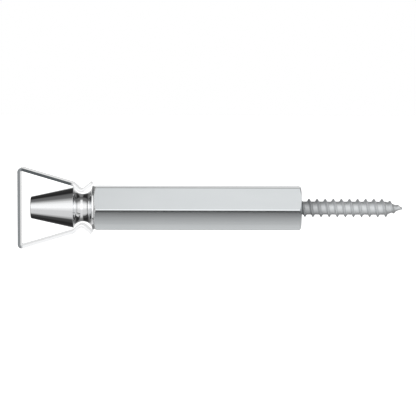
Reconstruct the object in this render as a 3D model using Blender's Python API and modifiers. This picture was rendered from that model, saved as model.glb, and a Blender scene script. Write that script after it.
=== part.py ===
"""Stand-off wall anchor: a double-threaded screw, a hexagonal spacer bar, a turned head with a
round groove, and a strip spring clip that swivels in that groove and closes round a wire rope.

Metres, +Z up. The long axis is X: the lag screw points along +X into the wall, the head and its
clip lie at -X. The origin is on the axis, at the spacer's wall-side end face.
Run with: blender --background --python part.py
"""
import math

import bmesh
import bpy
from mathutils import Vector

# Hexagonal spacer bar
HEX_ACROSS_FLATS = 0.018
HEX_LENGTH = 0.0875
HEX_FACE_INSET = 0.0001          # the end face's circle, inside the flats
HEX_CHAMFER_ANGLE = math.radians(30.0)

# M8 machine threads that join the pieces inside the bar
STUD_CREST_RADIUS = 0.0040
STUD_ROOT_RADIUS = 0.00325
STUD_PITCH = 0.00125
STUD_LENGTH = 0.0135
BORE_SPARE_DEPTH = 0.0030
DRILL_POINT_ANGLE = math.radians(31.0)

# Lag (wood) thread of the hanger screw
LAG_CREST_RADIUS = 0.0040
LAG_ROOT_RADIUS = 0.0028
LAG_PITCH = 0.00344
LAG_RIDGE_WIDTH = 0.0016
LAG_LENGTH = 0.0431
LAG_POINT_LENGTH = 0.0069
LAG_POINT_SHARE = 0.07           # how much of the radius is left at the very tip
LAG_START_SHARE = 0.15           # the ridge's height where it starts, as a share of its full height
LAG_FADE_TURNS = 0.4             # turns over which the ridge rises from the shank
LAG_FIRST_RIDGE = 0.0004         # from the bar's end face

# Turned head
HEAD_LENGTH = 0.0267
NOSE_RADIUS = 0.00465
NOSE_EDGE = 0.0003
CONE_BASE_RADIUS = 0.0087
FLANGE_RADIUS = 0.0094
FLANGE_THICKNESS = 0.00055
NECK_RADIUS = 0.0059
GROOVE_ARC_RADIUS = 0.0041

# Spring clip, bent from strip
STRIP_WIDTH = 0.010
STRIP_THICKNESS = 0.0012
CLIP_HALF_HEIGHT = 0.0160        # inner corner point of base and leg, from the axis
NOSE_TO_CLIP = 0.0041            # room for the rope
CLIP_CORNER_RADIUS = 0.0005      # inside the two corners at the base
SHOULDER_BEND_RADIUS = 0.0020    # inside the bend just before the groove
DIP_BEND_RADIUS = 0.0024         # axis side of the bend that lies in the groove
DIP_OFFSET = 0.0006              # the dip lies this much nearer to the cone than the groove's middle
DIP_CLEARANCE = 0.00010          # from the neck to the dip's corner point, before its bend
SHOULDER_CLEARANCE = 0.00085     # from the cone's base edge outwards to the shoulder's corner
SHOULDER_LEAD = 0.0004           # from the cone's base edge along the axis to that corner
LIP_CLEARANCE = 0.0007           # from the flange outwards to the lip's end
LIP_GAP = 0.00035                # from the flange's seat along the axis to the lip's end

# Fits and mesh fineness
JOINT_GAP = 0.0003
CUT_MARGIN = 0.0020
WELD_DISTANCE = 0.000005
STUD_STEPS = 16
LAG_STEPS = 24
TURN_STEPS = 48
ARC_STEP = math.radians(12.0)
PLAIN_TURNS = 0.1                # least plain rod left at each end of a machine thread, in turns
RIM_REACH = 1.01                 # how far a swept thread's end rim reaches along the axis, in pitches
THREAD_SHARP_ANGLE = math.radians(25.0)
STRIP_SHARP_ANGLE = math.radians(35.0)

# Finishes: base colour and roughness
SATIN_STEEL = ((0.62, 0.64, 0.65), 0.38)
ZINC_STEEL = ((0.60, 0.62, 0.63), 0.35)
POLISHED_STEEL = ((0.78, 0.78, 0.79), 0.07)
SPRING_STEEL = ((0.72, 0.73, 0.74), 0.15)

# Places worked out from the sizes; groove heights are measured from the head's seat
HEAD_SEAT_X = -HEX_LENGTH - JOINT_GAP
ARC_HEIGHT = NECK_RADIUS + GROOVE_ARC_RADIUS
FLANGE_DROP = ARC_HEIGHT - FLANGE_RADIUS
CONE_DROP = ARC_HEIGHT - CONE_BASE_RADIUS
GROOVE_MIDDLE = FLANGE_THICKNESS + math.sqrt(GROOVE_ARC_RADIUS**2 - FLANGE_DROP**2)
CONE_BASE_EDGE = GROOVE_MIDDLE + math.sqrt(GROOVE_ARC_RADIUS**2 - CONE_DROP**2)

TO_WALL = (0.0, math.pi / 2, 0.0)      # turns an object's own Z to the wall, +X
FROM_WALL = (0.0, -math.pi / 2, 0.0)   # turns an object's own Z away from the wall, -X


# ---------------------------------------------------------------- scene and materials

def clear_scene():
    for old in list(bpy.data.objects):
        bpy.data.objects.remove(old, do_unlink=True)


def new_collection(name):
    collection = bpy.data.collections.new(name)
    bpy.context.scene.collection.children.link(collection)
    return collection


def metal(name, finish):
    colour, roughness = finish
    material = bpy.data.materials.new(name)
    material.use_nodes = True
    shader = material.node_tree.nodes["Principled BSDF"]
    shader.inputs["Base Color"].default_value = (*colour, 1.0)
    shader.inputs["Metallic"].default_value = 1.0
    shader.inputs["Roughness"].default_value = roughness
    return material


def add_piece(name, mesh, material, turn=(0.0, 0.0, 0.0), x=0.0):
    """A sub-part in the object's collection, on the long axis at x."""
    piece = bpy.data.objects.new(name, mesh)
    parts.objects.link(piece)
    piece.location = (x, 0.0, 0.0)
    piece.rotation_euler = turn
    mesh.materials.append(material)
    return piece


def add_cutter(name, mesh, turn, x):
    cutter = bpy.data.objects.new(name, mesh)
    cutters.objects.link(cutter)
    cutter.location = (x, 0.0, 0.0)
    cutter.rotation_euler = turn
    cutter.hide_render = True
    cutter.display_type = "WIRE"
    return cutter


def add_boolean(piece, other, operation):
    boolean = piece.modifiers.new(other.name, "BOOLEAN")
    boolean.operation = operation
    boolean.object = other


# ---------------------------------------------------------------- turned shapes and threads

def section_mesh(name, points):
    """An open outline of (radius, height) points at +X, listed from the top down."""
    mesh = bpy.data.meshes.new(name)
    verts = [(radius, 0.0, height) for radius, height in points]
    mesh.from_pydata(verts, [(i, i + 1) for i in range(len(points) - 1)], [])
    return mesh


def add_sweep(piece, steps, turns=1, rise=0.0):
    """A Screw modifier about the piece's own Z, and a Weld that joins turns and poles."""
    sweep = piece.modifiers.new("sweep", "SCREW")
    sweep.axis = "Z"
    sweep.angle = math.tau
    sweep.screw_offset = rise
    sweep.iterations = turns
    sweep.steps = steps
    sweep.render_steps = steps
    sweep.use_smooth_shade = True
    weld = piece.modifiers.new("weld", "WELD")
    weld.merge_threshold = WELD_DISTANCE


def arc(centre, radius, start, end):
    """Points of an arc in the (radius, height) plane, both ends included."""
    count = max(2, math.ceil(abs(end - start) / ARC_STEP))
    angles = [start + (end - start) * i / count for i in range(count + 1)]
    return [(centre[0] + radius * math.cos(a), centre[1] + radius * math.sin(a)) for a in angles]


def swept_thread(points, pitch, turns, steps):
    """The thread's section carried up a helix about Z, its turns welded to each other."""
    helper = bpy.data.objects.new("section", section_mesh("section", points))
    bpy.context.scene.collection.objects.link(helper)
    add_sweep(helper, steps, turns, pitch)
    thread = bmesh.new()
    thread.from_object(helper, bpy.context.evaluated_depsgraph_get())
    bpy.data.objects.remove(helper, do_unlink=True)
    return thread


def close_thread(thread, pitch, end_height, point_height):
    """Lead one open end of a swept thread into a plain stretch that ends at end_height.

    The ridge's own end becomes a flat face, the root helix is carried on as a cylinder, and the
    cylinder is closed by a flat cap, or by a cone when point_height differs from end_height.
    """
    heights = [v.co.z for v in thread.verts]
    lowest = min(heights)
    highest = max(heights)
    at_low_end = abs(end_height - lowest) < abs(end_height - highest)
    edge_height = lowest if at_low_end else highest
    rim = []
    for edge in thread.edges:
        reach = max(abs(v.co.z - edge_height) for v in edge.verts)
        if edge.is_boundary and reach < RIM_REACH * pitch:
            rim.append(edge)
    rim_verts = {v for edge in rim for v in edge.verts}
    seam = [v for v in rim_verts if abs(v.co.y) < WELD_DISTANCE and v.co.x > 0.0]
    seam.sort(key=lambda v: abs(v.co.z - end_height))
    helix = [edge for edge in rim if not all(v in seam for v in edge.verts)]
    crest = max(seam, key=lambda v: v.co.x)
    place = seam.index(crest)
    thread.faces.new(seam[place - 1:place + 2])
    on_root = [v for v in reversed(seam) if v is not crest]
    made = bmesh.ops.extrude_edge_only(thread, edges=helix)["geom"]
    skirt = {item for item in made if isinstance(item, bmesh.types.BMVert)}
    for vert in skirt:
        vert.co.z = end_height
    above = on_root[0]
    for vert in on_root[1:]:
        side = next(edge for edge in above.link_edges if edge.other_vert(above) in skirt)
        share = (above.co.z - vert.co.z) / (above.co.z - end_height)
        above = bmesh.utils.edge_split(side, above, share)[1]
    bmesh.ops.remove_doubles(thread, verts=thread.verts, dist=WELD_DISTANCE)
    cap_rim = []
    for edge in thread.edges:
        if edge.is_boundary and all(abs(v.co.z - end_height) < WELD_DISTANCE for v in edge.verts):
            cap_rim.append(edge)
    cap = bmesh.ops.edgeloop_fill(thread, edges=cap_rim)["faces"]
    if point_height != end_height:
        tip = bmesh.ops.poke(thread, faces=cap)["verts"][0]
        tip.co.z = point_height


def finish_rod(name, thread):
    bmesh.ops.recalc_face_normals(thread, faces=thread.faces)
    mesh = bpy.data.meshes.new(name)
    thread.to_mesh(mesh)
    thread.free()
    mesh.shade_smooth()
    mesh.set_sharp_from_angle(angle=THREAD_SHARP_ANGLE)
    return mesh


def machine_rod(name, low, high, clearance=0.0, drilled=False):
    """A closed M8 rod from low to high. Its helix keeps one phase whatever its length is."""
    root = STUD_ROOT_RADIUS + clearance
    crest = STUD_CREST_RADIUS + clearance
    first = math.ceil(low / STUD_PITCH + PLAIN_TURNS)
    turns = math.floor(high / STUD_PITCH - PLAIN_TURNS) - first - 1
    base = first * STUD_PITCH
    points = [(root, base + STUD_PITCH), (crest, base + STUD_PITCH / 2), (root, base)]
    thread = swept_thread(points, STUD_PITCH, turns, STUD_STEPS)
    point = low - root * math.tan(DRILL_POINT_ANGLE) if drilled else low
    close_thread(thread, STUD_PITCH, low, point)
    close_thread(thread, STUD_PITCH, high, high)
    return finish_rod(name, thread)


def scale_radius(vert, scale):
    vert.co.x *= scale
    vert.co.y *= scale


def lag_rod(name, low):
    """The closed lag-thread end, from its plain start at low to its point at LAG_LENGTH."""
    base = LAG_FIRST_RIDGE
    points = [
        (LAG_ROOT_RADIUS, base + LAG_PITCH),
        (LAG_ROOT_RADIUS, base + LAG_RIDGE_WIDTH),
        (LAG_CREST_RADIUS, base + LAG_RIDGE_WIDTH / 2),
        (LAG_ROOT_RADIUS, base),
    ]
    turns = math.ceil((LAG_LENGTH - base) / LAG_PITCH)
    thread = swept_thread(points, LAG_PITCH, turns, LAG_STEPS)
    first_crest = base + LAG_RIDGE_WIDTH / 2
    for vert in thread.verts:
        radius = math.hypot(vert.co.x, vert.co.y)
        ridge = radius - LAG_ROOT_RADIUS
        if ridge > WELD_DISTANCE:
            turned = (vert.co.z - first_crest) / LAG_PITCH
            rise = min(1.0, LAG_START_SHARE + turned / LAG_FADE_TURNS)
            scale_radius(vert, (LAG_ROOT_RADIUS + ridge * rise) / radius)
    close_thread(thread, LAG_PITCH, low, low)
    cut = bmesh.ops.bisect_plane(
        thread, geom=thread.verts[:] + thread.edges[:] + thread.faces[:], dist=WELD_DISTANCE,
        plane_co=(0.0, 0.0, LAG_LENGTH), plane_no=(0.0, 0.0, 1.0), clear_outer=True)["geom_cut"]
    tip_rim = [item for item in cut if isinstance(item, bmesh.types.BMEdge)]
    bmesh.ops.edgeloop_fill(thread, edges=tip_rim)
    point_start = LAG_LENGTH - LAG_POINT_LENGTH
    for vert in thread.verts:
        past = max(0.0, vert.co.z - point_start) / LAG_POINT_LENGTH
        scale_radius(vert, 1.0 - (1.0 - LAG_POINT_SHARE) * past)
    return finish_rod(name, thread)


# ---------------------------------------------------------------- sub-parts

def make_hex_spacer():
    """Hexagonal bar with flats up and down, chamfered ends and a tapped blind hole in each."""
    corner_radius = HEX_ACROSS_FLATS / 2 / math.cos(math.pi / 6)
    bpy.ops.mesh.primitive_cylinder_add(vertices=6, radius=corner_radius, depth=HEX_LENGTH)
    bar = bpy.context.object
    mesh = bar.data
    mesh.name = "hex_spacer"
    bpy.data.objects.remove(bar, do_unlink=True)
    spacer = add_piece("hex_spacer", mesh, satin_steel, TO_WALL, -HEX_LENGTH / 2)

    face_radius = HEX_ACROSS_FLATS / 2 - HEX_FACE_INSET
    outer_radius = corner_radius + CUT_MARGIN
    half = HEX_LENGTH / 2
    drop = (outer_radius - face_radius) * math.tan(HEX_CHAMFER_ANGLE)
    points = [(0.0, half), (face_radius, half), (outer_radius, half - drop),
              (outer_radius, drop - half), (face_radius, -half), (0.0, -half)]
    envelope = add_cutter("hex_envelope", section_mesh("hex_envelope", points), TO_WALL, -half)
    add_sweep(envelope, TURN_STEPS)
    add_boolean(spacer, envelope, "INTERSECT")

    depth = STUD_LENGTH + BORE_SPARE_DEPTH
    for name, turn, x in (("screw_bore", TO_WALL, 0.0), ("head_bore", FROM_WALL, HEAD_SEAT_X)):
        mesh = machine_rod(name, -depth, CUT_MARGIN, JOINT_GAP, drilled=True)
        add_boolean(spacer, add_cutter(name, mesh, turn, x), "DIFFERENCE")


def make_hanger_screw():
    """Machine thread inside the bar and lag thread with its point outside, in one piece."""
    shank_end = LAG_FIRST_RIDGE / 2
    stud = machine_rod("hanger_screw", -STUD_LENGTH, shank_end)
    screw = add_piece("hanger_screw", stud, zinc_steel, TO_WALL)
    lag = add_cutter("lag_end", lag_rod("lag_end", -CUT_MARGIN), TO_WALL, 0.0)
    add_boolean(screw, lag, "UNION")


def make_anchor_head():
    """Turned head: nose, cone, round groove and flange, with a threaded stud behind it."""
    arc_centre = (ARC_HEIGHT, GROOVE_MIDDLE)
    cone_angle = math.atan2(CONE_BASE_EDGE - GROOVE_MIDDLE, CONE_BASE_RADIUS - arc_centre[0])
    flange_angle = math.atan2(FLANGE_THICKNESS - GROOVE_MIDDLE, FLANGE_RADIUS - arc_centre[0])
    groove = arc(arc_centre, GROOVE_ARC_RADIUS, cone_angle, flange_angle + math.tau)
    nose = [(0.0, HEAD_LENGTH), (NOSE_RADIUS - NOSE_EDGE, HEAD_LENGTH),
            (NOSE_RADIUS, HEAD_LENGTH - NOSE_EDGE)]
    points = nose + groove + [(FLANGE_RADIUS, 0.0), (0.0, 0.0)]
    body = section_mesh("anchor_head", points)
    head = add_piece("anchor_head", body, polished_steel, FROM_WALL, HEAD_SEAT_X)
    add_sweep(head, TURN_STEPS)
    stud = machine_rod("head_stud", -STUD_LENGTH, CUT_MARGIN)
    add_boolean(head, add_cutter("head_stud", stud, FROM_WALL, HEAD_SEAT_X), "UNION")


def rounded_path(corners):
    """A path through (point, bend radius) corners, each bend an arc that meets both sides."""
    path = [corners[0][0]]
    for i in range(1, len(corners) - 1):
        corner, radius = corners[i]
        back = (corners[i - 1][0] - corner).normalized()
        ahead = (corners[i + 1][0] - corner).normalized()
        half_angle = back.angle(ahead) / 2
        middle = corner + (back + ahead).normalized() * radius / math.sin(half_angle)
        start = corner + back * radius / math.tan(half_angle) - middle
        end = corner + ahead * radius / math.tan(half_angle) - middle
        turn = start.angle_signed(end)
        steps = max(2, math.ceil(abs(turn) / ARC_STEP))
        for k in range(steps + 1):
            angle = -turn * k / steps
            path.append(middle + Vector((
                start.x * math.cos(angle) - start.y * math.sin(angle),
                start.x * math.sin(angle) + start.y * math.cos(angle),
            )))
    path.append(corners[-1][0])
    return path


def make_spring_clip():
    """One bent strip: base, two legs, and two ends that dip into the groove and flare out.

    The upper half's inner side is drawn as a path, widened into a ribbon, mirrored, and given
    its thickness outwards. The origin is on the head's axis, in the middle of the groove.
    """
    origin_x = HEAD_SEAT_X - GROOVE_MIDDLE
    base_x = HEAD_SEAT_X - HEAD_LENGTH - NOSE_TO_CLIP
    shoulder_x = HEAD_SEAT_X - CONE_BASE_EDGE - SHOULDER_LEAD
    dip_x = HEAD_SEAT_X - GROOVE_MIDDLE - DIP_OFFSET
    lip_x = HEAD_SEAT_X - LIP_GAP
    corners = [
        (Vector((base_x, 0.0)), 0.0),
        (Vector((base_x, CLIP_HALF_HEIGHT)), CLIP_CORNER_RADIUS),
        (Vector((shoulder_x, CONE_BASE_RADIUS + SHOULDER_CLEARANCE)), SHOULDER_BEND_RADIUS),
        (Vector((dip_x, NECK_RADIUS + DIP_CLEARANCE)), DIP_BEND_RADIUS),
        (Vector((lip_x, FLANGE_RADIUS + LIP_CLEARANCE)), 0.0),
    ]
    ribbon = bmesh.new()
    line = []
    for x, z in rounded_path(corners):
        line.append(ribbon.verts.new((x - origin_x, -STRIP_WIDTH / 2, z)))
    edges = [ribbon.edges.new(pair) for pair in zip(line, line[1:])]
    made = bmesh.ops.extrude_edge_only(ribbon, edges=edges)["geom"]
    across = [item for item in made if isinstance(item, bmesh.types.BMVert)]
    bmesh.ops.translate(ribbon, verts=across, vec=(0.0, STRIP_WIDTH, 0.0))
    ribbon.normal_update()
    base_face = min(ribbon.faces, key=lambda face: face.calc_center_median().x)
    if base_face.normal.x > 0.0:
        bmesh.ops.reverse_faces(ribbon, faces=ribbon.faces)
    mesh = bpy.data.meshes.new("spring_clip")
    ribbon.to_mesh(mesh)
    ribbon.free()
    clip = add_piece("spring_clip", mesh, spring_steel, x=origin_x)
    mirror = clip.modifiers.new("mirror", "MIRROR")
    mirror.use_axis = (False, False, True)
    mirror.merge_threshold = WELD_DISTANCE
    wall = clip.modifiers.new("thickness", "SOLIDIFY")
    wall.thickness = STRIP_THICKNESS
    wall.offset = 1.0
    wall.use_even_offset = True
    mesh.shade_smooth()
    mesh.set_sharp_from_angle(angle=STRIP_SHARP_ANGLE)


# ---------------------------------------------------------------- the assembly

clear_scene()
parts = new_collection("wall_anchor")
cutters = new_collection("cutters")
satin_steel = metal("satin_steel", SATIN_STEEL)
zinc_steel = metal("zinc_steel", ZINC_STEEL)
polished_steel = metal("polished_steel", POLISHED_STEEL)
spring_steel = metal("spring_steel", SPRING_STEEL)

make_hex_spacer()
make_hanger_screw()
make_anchor_head()
make_spring_clip()
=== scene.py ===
# %% [markdown]
# # A stand-off wall anchor for wire rope
# The anchor is a hexagonal steel bar with a wood screw at one end and a turned, polished head at
# the other. A strip clip lies in the head's groove and closes in front of its nose.
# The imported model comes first: it fixes every size and place, and the pieces below follow it.

# %% Load the frame
import math

import bpy
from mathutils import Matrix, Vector


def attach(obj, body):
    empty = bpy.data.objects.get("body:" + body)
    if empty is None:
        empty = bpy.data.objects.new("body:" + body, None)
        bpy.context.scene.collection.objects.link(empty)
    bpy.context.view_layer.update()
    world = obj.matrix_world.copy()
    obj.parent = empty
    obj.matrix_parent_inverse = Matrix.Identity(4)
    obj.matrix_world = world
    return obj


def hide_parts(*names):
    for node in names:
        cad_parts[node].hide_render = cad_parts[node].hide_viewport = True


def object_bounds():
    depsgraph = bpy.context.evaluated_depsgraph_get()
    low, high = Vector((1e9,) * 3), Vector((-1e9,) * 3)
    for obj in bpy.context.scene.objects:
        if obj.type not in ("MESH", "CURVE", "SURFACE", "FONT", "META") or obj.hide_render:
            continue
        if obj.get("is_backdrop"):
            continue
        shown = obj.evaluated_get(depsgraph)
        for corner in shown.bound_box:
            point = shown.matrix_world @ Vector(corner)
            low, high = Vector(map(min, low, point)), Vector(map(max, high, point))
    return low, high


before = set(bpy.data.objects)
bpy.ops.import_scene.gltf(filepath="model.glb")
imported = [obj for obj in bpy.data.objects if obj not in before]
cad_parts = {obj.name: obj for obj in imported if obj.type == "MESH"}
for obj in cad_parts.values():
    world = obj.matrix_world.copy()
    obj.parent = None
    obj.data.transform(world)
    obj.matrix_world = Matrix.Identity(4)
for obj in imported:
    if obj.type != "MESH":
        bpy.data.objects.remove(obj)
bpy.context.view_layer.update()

# %% [markdown]
# ## Sizes that pieces and finishes share
# A pattern on a metal often follows an edge of the piece, such as a chamfer or a thread's crest.
# Such sizes could be written twice, once in the shape and once in the pattern, but they would then
# drift apart. They are written here once, in metres.

# %% Shared sizes
FLATS = 0.018
BAR_LENGTH = 0.0875
FACE_RADIUS = 0.0089
CHAMFER_SLOPE = math.tan(math.radians(30.0))
LAG_CREST = 0.0040
LAG_ROOT = 0.0028
STRIP_WIDTH = 0.010
CLIP_BASE_X = -0.1186
print("bar, mm:", 1000 * FLATS, "across flats and", 1000 * BAR_LENGTH, "long")

# %% [markdown]
# ## The camera
# A long lens from a little above and a little to the head's side shows the bar almost in plan, so
# that its upper and lower front faces share the front corner as a bright line. The camera is
# turned a touch about its own axis, as a hand-held one is.

# %% Camera
CAMERA_AZIMUTH = math.radians(-0.45)
CAMERA_ELEVATION = math.radians(5.5)
CAMERA_ROLL = math.radians(0.18)
CAMERA_DISTANCE = 0.900
CAMERA_TARGET = Vector((-0.0394, 0.0, -0.0001))
LENS = 183.6
SENSOR = 36.0

camera = bpy.data.objects.new("camera", bpy.data.cameras.new("camera"))
bpy.context.scene.collection.objects.link(camera)
camera.data.lens = LENS
camera.data.sensor_width = SENSOR
camera.data.clip_start = 0.01
camera.data.clip_end = 20.0
back = Vector((
    math.sin(CAMERA_AZIMUTH) * math.cos(CAMERA_ELEVATION),
    -math.cos(CAMERA_AZIMUTH) * math.cos(CAMERA_ELEVATION),
    math.sin(CAMERA_ELEVATION),
))
camera.location = CAMERA_TARGET + back * CAMERA_DISTANCE
aim = back.to_track_quat("Z", "Y").to_matrix()
camera.rotation_euler = aim.to_euler()
camera.rotation_euler.rotate_axis("Z", CAMERA_ROLL)
bpy.context.scene.camera = camera
bpy.context.scene.view_settings.view_transform = "Standard"
print("camera at, mm:", [round(1000 * v, 1) for v in camera.location])

# %% [markdown]
# ## Writing shader nodes as sums
# A pattern is easier to read as an expression than as a list of links. `Field` wraps a socket:
# sums and products of fields add Math nodes, and `node` adds any other node with its settings
# first and its sockets after.

# %% Shader maths
class Field:
    """One output socket of a node tree, which sums and products can be written with."""

    def __init__(self, tree, socket=None):
        self.tree = tree
        self.socket = socket

    def node(self, kind, settings, sockets, out=0):
        """Add a node; settings come first, then values or fields for its sockets."""
        made = self.tree.nodes.new(kind)
        for name, value in settings.items():
            if name == "stops":
                set_stops(made.color_ramp, value)
            else:
                setattr(made, name, value)
        for key, value in sockets.items():
            if isinstance(value, Field):
                self.tree.links.new(value.socket, made.inputs[key])
            else:
                made.inputs[key].default_value = value
        return Field(self.tree, made.outputs[out])

    def math(self, operation, *values, clamp=False):
        settings = {"operation": operation, "use_clamp": clamp}
        return self.node("ShaderNodeMath", settings, dict(enumerate(values)))

    def __add__(self, other):
        return self.math("ADD", self, other)

    __radd__ = __add__

    def __sub__(self, other):
        return self.math("SUBTRACT", self, other)

    def __rsub__(self, other):
        return self.math("SUBTRACT", other, self)

    def __mul__(self, other):
        return self.math("MULTIPLY", self, other)

    __rmul__ = __mul__

    def __truediv__(self, other):
        return self.math("DIVIDE", self, other)

    def above(self, edge, soft):
        """0 below the edge and 1 above it, with a ramp of width soft round it."""
        middle = 0.5
        return self.math("MULTIPLY_ADD", self - edge, 1.0 / soft, middle, clamp=True)

    def mix(self, low, high):
        """The colour low where this field is 0 and high where it is 1."""
        sockets = {0: self, 6: low, 7: high}
        return self.node("ShaderNodeMix", {"data_type": "RGBA"}, sockets, out=2)


def set_stops(ramp, stops):
    """Give a colour ramp its (position, grey) stops; the ramp starts with two."""
    ramp.interpolation = "EASE"
    while len(ramp.elements) > 1:
        ramp.elements.remove(ramp.elements[-1])
    ramp.elements[0].position = stops[0][0]
    ramp.elements[0].color = (*[stops[0][1]] * 3, 1.0)
    for position, grey in stops[1:]:
        ramp.elements.new(position).color = (*[grey] * 3, 1.0)


print("shader maths ready")

# %% [markdown]
# ## The studio
# Bright metal has no colour of its own: it shows the room. The room here is a white tent with a
# large soft light in front and black card hung above and behind and laid in front below, so
# that round pieces get a bright middle and dark edges. Real lamps and cards could be set up one
# by one, but a room drawn as bands is quicker to tune and has no noise. The bands are (degrees,
# brightness) by the height angle of a direction about the long axis: 0 is straight ahead of the
# anchor, 90 is up. The head sees one set of bands and the bar another. Directions near either
# end, and slantwise behind, are dim. What the camera sees directly is plain white.

# %% The room that the metal reflects
FULL_TURN = 360.0
AHEAD_STOP = 0.5
HEAD_ROOM = (
    (-180, 0.80), (-160, 0.62), (-148, 0.10), (-128, 0.03), (-105, 0.02), (-88, 0.05),
    (-74, 0.06), (-62, 0.42), (-50, 0.66), (-20, 0.68), (-6, 0.86), (5, 1.05), (28, 1.0),
    (42, 0.78), (56, 0.40), (68, 0.16), (88, 0.13), (104, 0.02), (128, 0.03), (148, 0.05),
    (160, 0.70), (180, 0.80),
)
BAR_ROOM = (
    (-180, 0.80), (-160, 0.75), (-148, 0.24), (-104, 0.20), (-84, 0.50), (-72, 0.72),
    (-50, 0.72), (-20, 0.75), (-6, 1.10), (4, 1.50), (26, 1.50), (44, 0.97),
    (64, 0.90), (75, 0.28), (92, 0.10), (110, 0.20), (148, 0.24), (160, 0.75), (180, 0.80),
)
ROOM_ENDS = (0.16, 0.16, 0.16, 1.0)
PLAIN_WHITE = (1.0, 1.0, 1.0, 1.0)
HEAD_SIDE_EDGE = -0.10
HEAD_SIDE_SOFT = 0.16
FAR_SIDE_EDGE = 0.30
FAR_SIDE_SOFT = 0.20
ENDS_EDGE = 0.88
ENDS_SOFT = 0.16
BEHIND_SHARE = 0.5

world = bpy.data.worlds.new("studio")
bpy.context.scene.world = world
world.use_nodes = True
world.node_tree.nodes.clear()
room = Field(world.node_tree)
direction = room.node("ShaderNodeTexCoord", {}, {}, out="Generated")
parts = {}
for axis in ("X", "Y", "Z"):
    parts[axis] = room.node("ShaderNodeSeparateXYZ", {}, {0: direction}, out=axis)
height_angle = room.math("ARCTAN2", parts["Z"], parts["Y"] * -1.0)
round_axis = height_angle / math.tau + AHEAD_STOP
sides = []
for bands in (HEAD_ROOM, BAR_ROOM):
    stops = [(angle / FULL_TURN + AHEAD_STOP, grey) for angle, grey in bands]
    sides.append(room.node("ShaderNodeValToRGB", {"stops": stops}, {0: round_axis}))
past_head = parts["X"].above(HEAD_SIDE_EDGE, HEAD_SIDE_SOFT)
square_on = past_head * (1.0 - parts["X"].above(FAR_SIDE_EDGE, FAR_SIDE_SOFT))
bands = square_on.mix(*sides)
behind = room.math("MAXIMUM", parts["Y"], 0.0)
endways = room.math("ABSOLUTE", parts["X"]) + behind * BEHIND_SHARE
seen = endways.above(ENDS_EDGE, ENDS_SOFT).mix(bands, ROOM_ENDS)
straight = room.node("ShaderNodeLightPath", {}, {}, out="Is Camera Ray")
tent = straight.mix(seen, PLAIN_WHITE)
background = room.node("ShaderNodeBackground", {}, {"Color": tent, "Strength": 1.0})
output = world.node_tree.nodes.new("ShaderNodeOutputWorld")
world.node_tree.links.new(background.socket, output.inputs["Surface"])
print("bands in the room:", len(HEAD_ROOM), "and", len(BAR_ROOM))

# %% [markdown]
# ## The floor
# A plain white floor lies well below the anchor, which in use stands out from a wall. It could be
# lit by the room, but it would then end in a grey horizon. It glows evenly instead, so that it
# runs into the white behind, and the metal doesn't mirror it.

# %% Floor
FLOOR_HEIGHT = -0.12
FLOOR_SIZE = 6.0

bpy.ops.object.select_all(action="DESELECT")
bpy.ops.mesh.primitive_plane_add(size=FLOOR_SIZE, location=(0.0, 0.0, FLOOR_HEIGHT))
floor = bpy.context.object
floor.name = "floor"
floor_white = bpy.data.materials.new("floor_white")
floor_white.use_nodes = True
shader = floor_white.node_tree.nodes["Principled BSDF"]
shader.inputs["Base Color"].default_value = (0.9, 0.9, 0.9, 1.0)
shader.inputs["Emission Color"].default_value = PLAIN_WHITE
shader.inputs["Emission Strength"].default_value = 1.0
floor.data.materials.append(floor_white)
floor.visible_glossy = False
floor.visible_diffuse = False
floor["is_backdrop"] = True
print("floor at, mm:", 1000 * FLOOR_HEIGHT)

# %% [markdown]
# ## A graded card
# A card is often slid close under a shiny bar, so that its lower face shows a fade and not a
# flat tone. A light could do it too, but it would also shine on the rest. This card goes from
# black in front to pale grey behind. The lower front face mirrors it and runs from a dark line
# at the corner to light below. The stops are (share of the card from front to back,
# brightness). Only mirrored rays see the card.

# %% Graded card
CARD_HEIGHT = -0.0125
CARD_FRONT = -0.0163
CARD_BACK = -0.0067
CARD_LEFT = -0.0883
CARD_RIGHT = 0.0010
CARD_STOPS = (
    (0.0, 0.0), (0.09, 0.0), (0.14, 0.19), (0.19, 0.27), (0.27, 0.33), (0.46, 0.47),
    (0.65, 0.57), (0.80, 0.68), (1.0, 0.74),
)

bpy.ops.object.select_all(action="DESELECT")
bpy.ops.mesh.primitive_plane_add(
    size=1.0, location=((CARD_LEFT + CARD_RIGHT) / 2, (CARD_FRONT + CARD_BACK) / 2, CARD_HEIGHT))
card = bpy.context.object
card.name = "graded_card"
bpy.ops.transform.resize(value=(CARD_RIGHT - CARD_LEFT, CARD_BACK - CARD_FRONT, 1.0))
bpy.ops.object.transform_apply(location=True, rotation=True, scale=True)
graded = bpy.data.materials.new("graded_card")
graded.use_nodes = True
shader = graded.node_tree.nodes["Principled BSDF"]
shader.inputs["Base Color"].default_value = (0.0, 0.0, 0.0, 1.0)
shader.inputs["Roughness"].default_value = 1.0
shader.inputs["Specular IOR Level"].default_value = 0.0
shader.inputs["Emission Strength"].default_value = 1.0
field = Field(graded.node_tree)
point = field.node("ShaderNodeTexCoord", {}, {}, out="Object")
depth = field.node("ShaderNodeSeparateXYZ", {}, {0: point}, out="Y")
share = (depth - CARD_FRONT) / (CARD_BACK - CARD_FRONT)
fade_out = field.node("ShaderNodeValToRGB", {"stops": CARD_STOPS}, {0: share})
field.tree.links.new(fade_out.socket, shader.inputs["Emission Color"])
card.data.materials.append(graded)
card.visible_camera = False
card.visible_diffuse = False
card.visible_shadow = False
card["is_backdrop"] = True
print("card from", 1000 * CARD_FRONT, "to", 1000 * CARD_BACK, "mm")

# %% [markdown]
# ## Finishes
# There are four metals: satin drawn steel, zinc plate, polished turned steel and bright strip. All
# of them need the same start, so a few helpers come first.

# %% A metal with a pattern
def metal(name):
    """A metal material; returns it, its shader and a field to write its pattern with."""
    material = bpy.data.materials.new(name)
    material.use_nodes = True
    made = material.node_tree.nodes["Principled BSDF"]
    made.inputs["Metallic"].default_value = 1.0
    return material, made, Field(material.node_tree)


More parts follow.
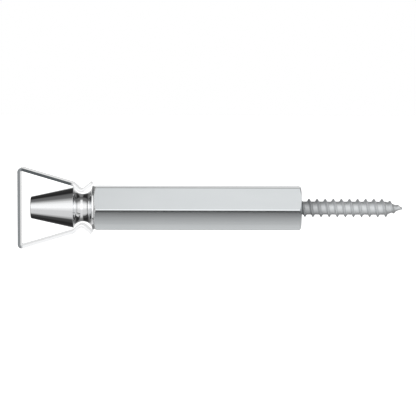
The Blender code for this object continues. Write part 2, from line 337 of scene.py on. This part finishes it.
def place(field):
    """The X, Y and Z fields of a piece's own coordinates, and the three as one vector."""
    point = field.node("ShaderNodeTexCoord", {}, {}, out="Object")
    split = [field.node("ShaderNodeSeparateXYZ", {}, {0: point}, out=axis) for axis in "XYZ"]
    return point, split


def noise(field, point, scale, detail=3.0):
    """Noise from 0 to 1 whose grain is stretched by the three scales."""
    stretched = field.node("ShaderNodeMapping", {}, {"Vector": point, "Scale": scale})
    sockets = {"Vector": stretched, "Scale": 1.0, "Detail": detail}
    return field.node("ShaderNodeTexNoise", {}, sockets, out=0)


def feed(field, made, socket, value):
    field.tree.links.new(value.socket, made.inputs[socket])


def bump(field, made, height, distance):
    sockets = {"Height": height, "Distance": distance, "Strength": 1.0}
    feed(field, made, "Normal", field.node("ShaderNodeBump", {}, sockets))


print("metal helpers ready")

# %% [markdown]
# ### The bar's finish
# Drawn steel keeps faint lines along its length under a satin plating. The lines could be a
# picture, but noise stretched a hundredfold along X gives them at any size. The lathe leaves the
# two chamfers brighter and duller-edged than the plating, so the head's end gets its own tone,
# picked out by how near a point is to the chamfer's cone. That tone is partly the turned finish
# and partly painted light, which brightens the chamfer where it sits in the shade of the head's
# flange.

# %% Satin drawn steel
DRAWN_LINES = (18.0, 5200.0, 5200.0)
PLATING_CLOUD = (60.0, 160.0, 160.0)
PLATING_DARK = (0.70, 0.73, 0.745, 1.0)
PLATING_PALE = (0.79, 0.815, 0.825, 1.0)
# Pale of the turned chamfer, partly its finish and partly painted light in the flange's shade.
TURNED_PALE_AND_PAINTED_LIGHT = (0.96, 0.97, 0.97, 1.0)
CHAMFER_BAND = 0.00012
CHAMFER_SOFT = 0.00006
SATIN_ROUGHNESS = 0.11
LINE_ROUGHNESS = 0.04
TURNED_ROUGHNESS = 0.4
TURNED_LESS_METAL = 0.7
LINE_DEPTH = 0.000004

satin, made, field = metal("satin_drawn_steel")
point, (x, y, z) = place(field)
lines = noise(field, point, DRAWN_LINES)
cloud = noise(field, point, PLATING_CLOUD, detail=2.0)
plating = ((lines + cloud) / 2).mix(PLATING_DARK, PLATING_PALE)
radius = field.math("SQRT", y * y + z * z)
chamfer_x = (radius - FACE_RADIUS) * CHAMFER_SLOPE - BAR_LENGTH
off_chamfer = field.math("ABSOLUTE", x - chamfer_x)
turned = 1.0 - off_chamfer.above(CHAMFER_BAND, CHAMFER_SOFT)
# The chamfer's pale colour is partly turned finish and partly painted light where the flange
# shades it.
feed(field, made, "Base Color", turned.mix(plating, TURNED_PALE_AND_PAINTED_LIGHT))
roughness = lines * LINE_ROUGHNESS + turned * TURNED_ROUGHNESS + SATIN_ROUGHNESS
feed(field, made, "Roughness", roughness)
feed(field, made, "Metallic", 1.0 - turned * TURNED_LESS_METAL)
bump(field, made, lines, LINE_DEPTH)
print("satin steel:", len(satin.node_tree.nodes), "nodes")

# %% [markdown]
# ### The screw's finish
# Zinc plating is duller than the bar and a little mottled, and it rubs bright on the thread's
# crests. One grey with noise would do from afar. Here the crests are told from the roots by their
# distance from the axis, and the first turns by the bar are darker: painted shade, standing in for
# the shade that the bar casts over them.

# %% Zinc plated steel
ZINC_MOTTLE = (1400.0, 1400.0, 1400.0)
ROOT_GREY = (0.86, 0.88, 0.89, 1.0)
CREST_PALE = (0.93, 0.94, 0.95, 1.0)
# Painted shade: the grey that darkens the first turns by the bar, in place of the bar's shade.
PAINTED_SHADE_GREY = (0.42, 0.43, 0.44, 1.0)
CREST_SOFT = 0.0010
PAINTED_SHADE_REACH = 0.009
PAINTED_SHADE_SOFT = 0.010
PAINTED_SHADE_SHARE = 0.45
MOTTLE_SHARE = 0.1
ZINC_ROUGHNESS = 0.50
MOTTLE_ROUGHNESS = 0.18
ZINC_METAL = 0.80
MOTTLE_LESS_METAL = 0.15
MOTTLE_DEPTH = 0.00001

zinc, made, field = metal("zinc_plated_steel")
point, (x, y, z) = place(field)
radius = field.math("SQRT", y * y + z * z)
crest = radius.above((LAG_CREST + LAG_ROOT) / 2, CREST_SOFT)
grain = noise(field, point, ZINC_MOTTLE)
# Painted shade on the first turns next to the bar, mixed below with random mottle.
painted_shade_by_bar = 1.0 - x.above(PAINTED_SHADE_REACH, PAINTED_SHADE_SOFT)
plate = crest.mix(ROOT_GREY, CREST_PALE)
painted_shade_and_mottle = painted_shade_by_bar * PAINTED_SHADE_SHARE + grain * MOTTLE_SHARE
feed(field, made, "Base Color", painted_shade_and_mottle.mix(plate, PAINTED_SHADE_GREY))
feed(field, made, "Roughness", ZINC_ROUGHNESS + grain * MOTTLE_ROUGHNESS)
feed(field, made, "Metallic", ZINC_METAL - grain * MOTTLE_LESS_METAL)
bump(field, made, grain, MOTTLE_DEPTH)
print("zinc:", len(zinc.node_tree.nodes), "nodes")

# %% [markdown]
# ### The head's finish
# The head is turned and then polished, and the tool's last rings can just be felt. Rings could be
# cut in the mesh, but they are finer than its faces. Noise that changes quickly along X and hardly
# at all across it gives rings that need no geometry.

# %% Polished turned steel
TOOL_RINGS = (6500.0, 12.0, 12.0)
POLISH_DARK = (0.88, 0.89, 0.90, 1.0)
POLISH_PALE = (0.96, 0.965, 0.97, 1.0)
POLISH_ROUGHNESS = 0.04
RING_ROUGHNESS = 0.05
RING_DEPTH = 0.000002

polished, made, field = metal("polished_turned_steel")
point = place(field)[0]
rings = noise(field, point, TOOL_RINGS, detail=2.0)
feed(field, made, "Base Color", rings.mix(POLISH_DARK, POLISH_PALE))
feed(field, made, "Roughness", POLISH_ROUGHNESS + rings * RING_ROUGHNESS)
bump(field, made, rings, RING_DEPTH)
print("polished steel:", len(polished.node_tree.nodes), "nodes")

# %% [markdown]
# ### The clip's finish
# Spring strip is bright on its broad faces and dull where it was slit. Two materials on one piece
# could do this, but a mask by the distance from the strip's middle follows the bends by itself.
# The slit edge has three tones that are painted light and shade, not the metal's own colour: a
# painted half shade at the base, painted dark shade on the upper leg and painted light below.

# %% Bright strip with cut edges
SLIT_BAND = 0.00008
SLIT_SOFT = 0.00004
PAINTED_BASE_SHADE_REACH = 0.0006
PAINTED_BASE_SHADE_SOFT = 0.0010
PAINTED_LEG_SHADE_SOFT = 0.004
PAINTED_SHADE_LEG_END = -0.0967
PAINTED_SHADE_LEG_SOFT = 0.0016
STRIP_STREAKS = (60.0, 4200.0, 60.0)
# Painted light and shade for the slit edge: pale painted light, dark painted shade, mid half
# shade.
EDGE_PAINTED_LIGHT = (0.95, 0.955, 0.96, 1.0)
EDGE_PAINTED_SHADE = (0.10, 0.11, 0.115, 1.0)
EDGE_PAINTED_HALF_SHADE = (0.27, 0.285, 0.295, 1.0)
STRIP_DARK = (0.90, 0.91, 0.92, 1.0)
STRIP_PALE = (0.97, 0.975, 0.98, 1.0)
STRIP_ROUGHNESS = 0.07
SLIT_ROUGHNESS = 0.22
STREAK_ROUGHNESS = 0.05
STREAK_DEPTH = 0.000002

strip, made, field = metal("bright_strip_steel")
point, (x, y, z) = place(field)
cut_edge = field.math("ABSOLUTE", y).above(STRIP_WIDTH / 2 - SLIT_BAND, SLIT_SOFT)
# Painted shade and light on the slit edge: half shade at the base, dark on the upper leg, pale
# below.
painted_half_shade_base = 1.0 - x.above(CLIP_BASE_X + PAINTED_BASE_SHADE_REACH, PAINTED_BASE_SHADE_SOFT)
painted_shade_leg = z.above(0.0, PAINTED_LEG_SHADE_SOFT) * (1.0 - x.above(PAINTED_SHADE_LEG_END, PAINTED_SHADE_LEG_SOFT))
edge = painted_half_shade_base.mix(painted_shade_leg.mix(EDGE_PAINTED_LIGHT, EDGE_PAINTED_SHADE), EDGE_PAINTED_HALF_SHADE)
streaks = noise(field, point, STRIP_STREAKS)
face = streaks.mix(STRIP_DARK, STRIP_PALE)
feed(field, made, "Base Color", cut_edge.mix(face, edge))
roughness = cut_edge * SLIT_ROUGHNESS + streaks * STREAK_ROUGHNESS + STRIP_ROUGHNESS
feed(field, made, "Roughness", roughness)
bump(field, made, streaks, STREAK_DEPTH)
print("strip steel:", len(strip.node_tree.nodes), "nodes")

# %% [markdown]
# ## Working by hand, in code
# Each piece starts from a primitive or a single point, is drawn out in edit mode, and is finished
# with applied modifiers. These few helpers are the hand's own moves: start a point, draw to the
# next point, carry a point round an arc, turn an outline round the long axis.

# %% Moves
AXIS_X = (1.0, 0.0, 0.0)
AXIS_Y = (0.0, 1.0, 0.0)
MERGE = 0.0000005
SAME_PLACE = 0.000001
SPECK = 0.001


def pick(test):
    """In edit mode, select exactly the vertices that pass the test."""
    bpy.ops.mesh.select_all(action="DESELECT")
    bpy.ops.object.mode_set(mode="OBJECT")
    for vert in bpy.context.object.data.vertices:
        vert.select = test(vert.co)
    bpy.ops.object.mode_set(mode="EDIT")


def pick_edges(test):
    """Go to edit mode with exactly the edges selected whose two ends pass the test."""
    bpy.ops.object.mode_set(mode="EDIT")
    bpy.ops.mesh.select_mode(type="EDGE")
    bpy.ops.mesh.select_all(action="DESELECT")
    bpy.ops.object.mode_set(mode="OBJECT")
    mesh = bpy.context.object.data
    for edge in mesh.edges:
        edge.select = test(*[mesh.vertices[i].co for i in edge.vertices])
    bpy.ops.object.mode_set(mode="EDIT")


def start_outline(name, x, z, y=0.0):
    """One vertex, ready to be drawn out into an outline."""
    bpy.ops.object.select_all(action="DESELECT")
    bpy.ops.mesh.primitive_plane_add(size=SPECK)
    bpy.context.object.name = name
    bpy.ops.object.mode_set(mode="EDIT")
    bpy.ops.mesh.select_mode(type="VERT")
    bpy.ops.mesh.select_all(action="SELECT")
    bpy.ops.mesh.merge(type="CENTER")
    bpy.ops.mesh.select_all(action="SELECT")
    bpy.ops.transform.translate(value=(x, y, z))
    return [x, z]


def draw_to(pen, x, z):
    """Extrude the last vertex to (x, z)."""
    step = (x - pen[0], 0.0, z - pen[1])
    bpy.ops.mesh.extrude_region_move(TRANSFORM_OT_translate={"value": step})
    pen[:] = [x, z]


def draw_arc(pen, centre, angle, steps):
    """Carry the last vertex round a centre (x, z) by an angle about Y.

    The operator counts the angle the other way round, so it gets the negative.
    """
    bpy.ops.mesh.spin(steps=steps, angle=-angle, center=(centre[0], 0.0, centre[1]), axis=AXIS_Y)
    dx = pen[0] - centre[0]
    dz = pen[1] - centre[1]
    cos = math.cos(angle)
    sin = math.sin(angle)
    pen[:] = [centre[0] + dx * cos + dz * sin, centre[1] - dx * sin + dz * cos]


def round_corner(x, z, setback, segments):
    """Bevel the outline's vertex at (x, z) into an arc that starts setback away from it."""
    pick(lambda co: math.hypot(co.x - x, co.z - z) < SAME_PLACE)
    bpy.ops.mesh.bevel(offset=setback, segments=segments, affect="VERTICES")


def turn_outline(steps):
    """Spin the whole outline once round the long axis and close its seam and poles."""
    bpy.ops.mesh.select_all(action="SELECT")
    bpy.ops.mesh.spin(steps=steps, angle=math.tau, center=(0.0, 0.0, 0.0), axis=AXIS_X)
    bpy.ops.mesh.select_all(action="SELECT")
    bpy.ops.mesh.remove_doubles(threshold=MERGE)
    bpy.ops.mesh.select_all(action="SELECT")
    bpy.ops.mesh.normals_make_consistent(inside=False)


def apply_all(piece):
    bpy.context.view_layer.objects.active = piece
    for modifier in list(piece.modifiers):
        bpy.ops.object.modifier_apply(modifier=modifier.name)


def combine(piece, other, operation):
    """Cut, keep or join a piece with another shape, which is used up."""
    tool = piece.modifiers.new("combine", "BOOLEAN")
    tool.operation = operation
    tool.object = other
    tool.solver = "EXACT"
    apply_all(piece)
    bpy.data.objects.remove(other, do_unlink=True)


def finish_piece(piece, material, body, node, smooth):
    """Settle a piece's place in its mesh, smooth it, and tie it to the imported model."""
    bpy.ops.object.select_all(action="DESELECT")
    piece.select_set(True)
    bpy.context.view_layer.objects.active = piece
    bpy.ops.object.transform_apply(location=True, rotation=True, scale=True)
    bpy.ops.object.shade_smooth_by_angle(angle=smooth, keep_sharp_edges=False)
    weigh = piece.modifiers.new("weigh", "WEIGHTED_NORMAL")
    weigh.keep_sharp = True
    weigh.weight = 100
    apply_all(piece)
    piece.data.materials.clear()
    piece.data.materials.append(material)
    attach(piece, body)
    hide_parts(node)
    low, high = [Vector(corner) for corner in (piece.bound_box[0], piece.bound_box[6])]
    size = [round(1000 * v, 2) for v in high - low]
    print(piece.name, size, "mm,", len(piece.data.polygons), "faces")


print("moves ready")

# %% [markdown]
# ## The bar
# Hexagonal bar is drawn through a die, so its long corners are slightly round. A six-sided
# cylinder with all its edges bevelled would look close, but the bevels at the ends would be
# straight. So only the long edges are bevelled here, and the ends are turned in the next step.

# %% Bar with round corners
CORNER_SETBACK = 0.0003
CORNER_SEGMENTS = 6
BAR_SMOOTH = math.radians(22.0)

corner = FLATS / 2 / math.cos(math.pi / 6)
bpy.ops.object.select_all(action="DESELECT")
bpy.ops.mesh.primitive_cylinder_add(
    vertices=6, radius=corner, depth=BAR_LENGTH,
    location=(-BAR_LENGTH / 2, 0.0, 0.0), rotation=(0.0, math.pi / 2, 0.0))
bar = bpy.context.object
bar.name = "hex_bar"
bpy.ops.object.transform_apply(location=True, rotation=True, scale=True)
pick_edges(lambda one, two: abs(one.x - two.x) > BAR_LENGTH / 2)
bpy.ops.mesh.bevel(offset=CORNER_SETBACK, segments=CORNER_SEGMENTS, affect="EDGES")
bpy.ops.object.mode_set(mode="OBJECT")
print("bar with round corners:", len(bar.data.polygons), "faces")

# %% [markdown]
# ### The bar's ends
# The bar is faced in a lathe, where a chamfer at 30 degrees cuts the corners in curves, and then
# drilled at both ends. The curves are hard to draw by hand. A turned envelope that keeps only what
# lies inside it makes them just as the lathe does, and two drill shapes cut the holes.

# %% Chamfers
ENVELOPE_ROOM = 0.002
ENVELOPE_STEPS = 144

outer = corner + ENVELOPE_ROOM
drop = (outer - FACE_RADIUS) * CHAMFER_SLOPE
pen = start_outline("envelope", 0.0, 0.0)
draw_to(pen, 0.0, FACE_RADIUS)
draw_to(pen, -drop, outer)
draw_to(pen, drop - BAR_LENGTH, outer)
draw_to(pen, -BAR_LENGTH, FACE_RADIUS)
draw_to(pen, -BAR_LENGTH, 0.0)
turn_outline(ENVELOPE_STEPS)
bpy.ops.object.mode_set(mode="OBJECT")
combine(bar, bpy.context.object, "INTERSECT")
print("bar with chamfers:", len(bar.data.polygons), "faces")

# %% Holes
HOLE_RADIUS = 0.0043
HOLE_DEPTH = 0.0165
SINK_WIDTH = 0.0014
SINK_DEPTH = 0.0004
DRILL_OVERRUN = 0.001
DRILL_POINT_SHARE = 0.6
DRILL_STEPS = 64

for end, inward in ((0.0, -1.0), (-BAR_LENGTH, 1.0)):
    outside = end - inward * DRILL_OVERRUN
    pen = start_outline("drill", outside, 0.0)
    draw_to(pen, outside, HOLE_RADIUS + SINK_WIDTH)
    draw_to(pen, end + inward * SINK_DEPTH, HOLE_RADIUS)
    draw_to(pen, end + inward * HOLE_DEPTH, HOLE_RADIUS)
    draw_to(pen, end + inward * (HOLE_DEPTH + HOLE_RADIUS * DRILL_POINT_SHARE), 0.0)
    turn_outline(DRILL_STEPS)
    bpy.ops.object.mode_set(mode="OBJECT")
    combine(bar, bpy.context.object, "DIFFERENCE")
finish_piece(bar, satin, "anchor", "hex_spacer", BAR_SMOOTH)

# %% [markdown]
# ## Threads
# A thread is a round rod with a ridge wound round it. It could be built with the Screw modifier,
# but then its two ends need closing by hand. Instead a rod is divided finely along its length,
# its rings are twisted by one turn per pitch, and the same few columns of every ring are pushed
# out. The rod stays closed and its grid follows the ridge.

# %% Wind a thread on a rod
COLUMNS = 64
CREST_FLAT = 1.08


def fine_rod(name, radius, start, end, cuts):
    """A closed rod along X with cuts x cuts rings."""
    bpy.ops.object.select_all(action="DESELECT")
    bpy.ops.mesh.primitive_cylinder_add(
        vertices=COLUMNS, radius=radius, depth=end - start, end_fill_type="NGON",
        location=((start + end) / 2, 0.0, 0.0), rotation=(0.0, math.pi / 2, 0.0))
    rod = bpy.context.object
    rod.name = name
    bpy.ops.object.transform_apply(location=True, rotation=True, scale=True)
    for _ in range(2):
        pick_edges(lambda one, two: abs(one.x - two.x) > MERGE)
        bpy.ops.mesh.subdivide(number_cuts=cuts - 1)
    bpy.ops.object.mode_set(mode="OBJECT")
    return rod


def wind(rod, turned, radius_at):
    """Twist each ring by turned(x) turns; radius_at(x, share of a turn) gives its outline."""
    for vert in rod.data.vertices:
        x, y, z = vert.co
        share = round(math.atan2(z, y) / math.tau * COLUMNS) / COLUMNS
        angle = math.tau * (share + turned(x))
        radius = radius_at(x, share % 1.0)
        vert.co = (x, radius * math.cos(angle), radius * math.sin(angle))


def ridge(share, width):
    """Height, 0 to 1, of a ridge that takes up width of a turn, with a slightly flat crest."""
    from_crest = abs(share - 0.5) * 2.0 / width
    return min(1.0, max(0.0, 1.0 - from_crest) * CREST_FLAT)


print("thread helpers ready")

# %% [markdown]
# ## The screw
# One rod carries both threads: a machine thread that sits inside the bar and a coarse wood thread
# with a point outside it. Two rods could be joined at the bar's face, but one rod whose radius
# changes along its length has no seam there. The wood thread starts at half its height by the bar.

# %% Hanger screw
STUD_CREST = 0.0040
STUD_ROOT = 0.00325
STUD_PITCH = 0.00125
STUD_LENGTH = 0.0135
STUD_END_RUN = 0.0006
LAG_PITCH = 0.00344
LAG_RIDGE_SHARE = 0.46
LAG_LENGTH = 0.0431
LAG_TOP_CREST = 0.00005
POINT_LENGTH = 0.0069
POINT_SHARE = 0.12
LAG_START = 0.0004
LAG_START_SHARE = 0.5
LAG_START_RUN = 0.4 * LAG_PITCH
LAG_FACE_RUN = 0.0003
PLAIN_RUN = 0.0005
CREST_TO_TOP = -0.25
SCREW_CUTS = 28
THREAD_SMOOTH = math.radians(40.0)


def fade(x, start, length):
    """0 up to the start, then up to 1 over the length."""
    return min(1.0, max(0.0, (x - start) / length))


def stud_radius(x, share, first, last):
    """Machine thread between first and last along X, plain rod elsewhere."""
    rise = min(fade(x, first, STUD_END_RUN), fade(-x, -last, STUD_END_RUN))
    return STUD_ROOT + (STUD_CREST - STUD_ROOT) * rise * ridge(share, 1.0)


def screw_radius(x, share):
    """Machine thread up to the bar's face and wood thread beyond it."""
    if x < 0.0:
        plain = fade(x, -PLAIN_RUN, PLAIN_RUN)
        radius = stud_radius(x, share, -STUD_LENGTH, -PLAIN_RUN)
        return radius + (LAG_ROOT - radius) * plain
    rise = LAG_START_SHARE + (1.0 - LAG_START_SHARE) * fade(x, LAG_START, LAG_START_RUN)
    depth = (LAG_CREST - LAG_ROOT) * rise * fade(x, 0.0, LAG_FACE_RUN)
    taper = 1.0 - (1.0 - POINT_SHARE) * fade(x, LAG_LENGTH - POINT_LENGTH, POINT_LENGTH)
    return (LAG_ROOT + depth * ridge(share, LAG_RIDGE_SHARE)) * taper


def screw_turns(x):
    """Turns of each ring, so that a crest of the wood thread is on top at LAG_TOP_CREST."""
    if x > 0.0:
        return CREST_TO_TOP + (x - LAG_TOP_CREST) / LAG_PITCH
    return CREST_TO_TOP - LAG_TOP_CREST / LAG_PITCH + x / STUD_PITCH


screw = fine_rod("hanger_screw_fine", LAG_ROOT, -STUD_LENGTH, LAG_LENGTH, SCREW_CUTS)
wind(screw, screw_turns, screw_radius)
finish_piece(screw, zinc, "anchor", "hanger_screw", THREAD_SMOOTH)

# %% [markdown]
# ## The head
# The head is turned from round bar: a flat nose, a cone, a round groove for the clip and a thin
# flange that rests on the bar. Cones and a torus could be cut from each other, but a lathe works
# from an outline, and so does this: it is drawn from the nose to the flange, its corners are
# rounded a little, as polishing leaves them, and it is turned once round the long axis.

# %% Outline of the head
SEAT_X = -0.0878
FLANGE_BACK_X = -0.08756
HEAD_LENGTH = 0.0267
NOSE_RADIUS = 0.00465
CONE_BASE = 0.0087
FLANGE_RADIUS = 0.0094
FLANGE_THICKNESS = 0.00055
NECK_RADIUS = 0.0059
GROOVE_ARC = 0.0041
ARC_STEPS = 40
HEAD_STEPS = 192
NOSE_ROUND = 0.00030
NOSE_SEGMENTS = 5
CONE_ROUND = 0.00016
CONE_SEGMENTS = 4
FLANGE_ROUND = 0.00012
FLANGE_SEGMENTS = 3

arc_z = NECK_RADIUS + GROOVE_ARC
arc_x = SEAT_X - FLANGE_THICKNESS - math.sqrt(GROOVE_ARC**2 - (arc_z - FLANGE_RADIUS)**2)
cone_x = arc_x - math.sqrt(GROOVE_ARC**2 - (arc_z - CONE_BASE)**2)
nose_x = SEAT_X - HEAD_LENGTH
first_angle = math.atan2(CONE_BASE - arc_z, cone_x - arc_x)
last_angle = math.atan2(FLANGE_RADIUS - arc_z, SEAT_X - FLANGE_THICKNESS - arc_x)
sweep = (last_angle - first_angle) % math.tau

pen = start_outline("anchor_head_fine", nose_x, 0.0)
draw_to(pen, nose_x, NOSE_RADIUS)
draw_to(pen, cone_x, CONE_BASE)
draw_arc(pen, (arc_x, arc_z), -sweep, ARC_STEPS)
draw_to(pen, FLANGE_BACK_X, FLANGE_RADIUS)
draw_to(pen, FLANGE_BACK_X, 0.0)
round_corner(nose_x, NOSE_RADIUS, NOSE_ROUND, NOSE_SEGMENTS)
round_corner(cone_x, CONE_BASE, CONE_ROUND, CONE_SEGMENTS)
round_corner(FLANGE_BACK_X, FLANGE_RADIUS, FLANGE_ROUND, FLANGE_SEGMENTS)
turn_outline(HEAD_STEPS)
bpy.ops.object.mode_set(mode="OBJECT")
head = bpy.context.object
print("turned head:", len(head.data.polygons), "faces")

# %% [markdown]
# ### The head's stud
# The head screws into the bar with a stud of its own. Nobody sees it once the anchor is put
# together, but the piece would be wrong without it. It is wound like the screw's machine thread
# and joined to the head, which it starts a little inside of, so that no gap is left.

# %% Head stud
STUD_SINK = 0.001
STUD_CUTS = 14
HEAD_SMOOTH = math.radians(25.0)

stud_tip = SEAT_X + STUD_LENGTH
stud = fine_rod("head_stud", STUD_ROOT, SEAT_X - STUD_SINK, stud_tip, STUD_CUTS)
wind(stud, lambda x: x / STUD_PITCH, lambda x, share: stud_radius(x, share, SEAT_X, stud_tip))
combine(head, stud, "UNION")
finish_piece(head, polished, "anchor", "anchor_head", HEAD_SMOOTH)

# %% [markdown]
# ## The clip
# The clip is one strip, bent at two corners and then down into the groove at each end. A closed
# outline of both its sides could be extruded, but the bends would then need two radii each. Here
# only its inner line is drawn, for the upper half. The corners are rounded with their bending
# radii, and the line is widened to the strip's width, mirrored, and given its thickness outwards.
# A narrow bevel takes the sharpness off its edges.

# %% Inner line of the clip
STRIP_THICKNESS = 0.0012
CLIP_HALF_HEIGHT = 0.0160
BASE_BEND = 0.0005
CONE_BEND = 0.0020
CONE_BEND_BACK = 0.0004
CONE_BEND_ABOVE = 0.00085
DIP_BEND = 0.0024
DIP_BACK = 0.0006
DIP_ABOVE = 0.0001
TIP_BACK = 0.00035
TIP_ABOVE = 0.0007
BEND_SEGMENTS = 12

bends = [
    (CLIP_BASE_X, CLIP_HALF_HEIGHT, BASE_BEND),
    (cone_x - CONE_BEND_BACK, CONE_BASE + CONE_BEND_ABOVE, CONE_BEND),
    (arc_x - DIP_BACK, NECK_RADIUS + DIP_ABOVE, DIP_BEND),
]
tip = (SEAT_X - TIP_BACK, FLANGE_RADIUS + TIP_ABOVE)
points = [Vector(spot) for spot in ((CLIP_BASE_X, 0.0), *[bend[:2] for bend in bends], tip)]
pen = start_outline("spring_clip_fine", CLIP_BASE_X, 0.0, -STRIP_WIDTH / 2)
for spot in points[1:]:
    draw_to(pen, spot.x, spot.y)
for i, (x, z, radius) in enumerate(bends, start=1):
    opening = (points[i - 1] - points[i]).angle(points[i + 1] - points[i])
    round_corner(x, z, radius / math.tan(opening / 2), BEND_SEGMENTS)
clip = bpy.context.object
print("inner line:", len(bends), "bends")

# %% Strip from the line
EDGE_ROUND = 0.00007
EDGE_SEGMENTS = 3
EDGE_ANGLE = math.radians(60.0)
STRIP_SMOOTH = math.radians(35.0)

bpy.ops.mesh.select_all(action="SELECT")
bpy.ops.mesh.extrude_region_move(TRANSFORM_OT_translate={"value": (0.0, STRIP_WIDTH, 0.0)})
bpy.ops.mesh.select_all(action="SELECT")
bpy.ops.mesh.normals_make_consistent(inside=False)
bpy.ops.object.mode_set(mode="OBJECT")
base_face = min(clip.data.polygons, key=lambda poly: poly.center.x)
if base_face.normal.x > 0.0:
    clip.data.flip_normals()
mirror = clip.modifiers.new("mirror", "MIRROR")
mirror.use_axis = (False, False, True)
mirror.merge_threshold = MERGE
wall = clip.modifiers.new("wall", "SOLIDIFY")
wall.thickness = STRIP_THICKNESS
wall.offset = 1.0
wall.use_even_offset = True
soften = clip.modifiers.new("soften", "BEVEL")
soften.width = EDGE_ROUND
soften.segments = EDGE_SEGMENTS
soften.limit_method = "ANGLE"
soften.angle_limit = EDGE_ANGLE
apply_all(clip)
finish_piece(clip, strip, "clip", "spring_clip", STRIP_SMOOTH)

# %% [markdown]
# The clip's broad faces are so bright that their mirror image would wash out the head's dark
# bands. A card between the two would stop that in a studio. Here the clip is simply kept out of
# mirrored rays, which changes nothing else about it.

# %% Clip kept out of the head's mirror image
clip.visible_glossy = False
print("clip seen in other pieces:", clip.visible_glossy)

# %% [markdown]
# ## Sizes and the end
# The finished pieces have to fill the imported model's box. The corners of the finished pieces'
# box are printed.

# %% Measure and finish
visual_box = [list(corner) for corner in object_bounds()]
for corner in visual_box:
    print("a corner of the finished pieces, mm:", [round(1000 * v, 2) for v in corner])
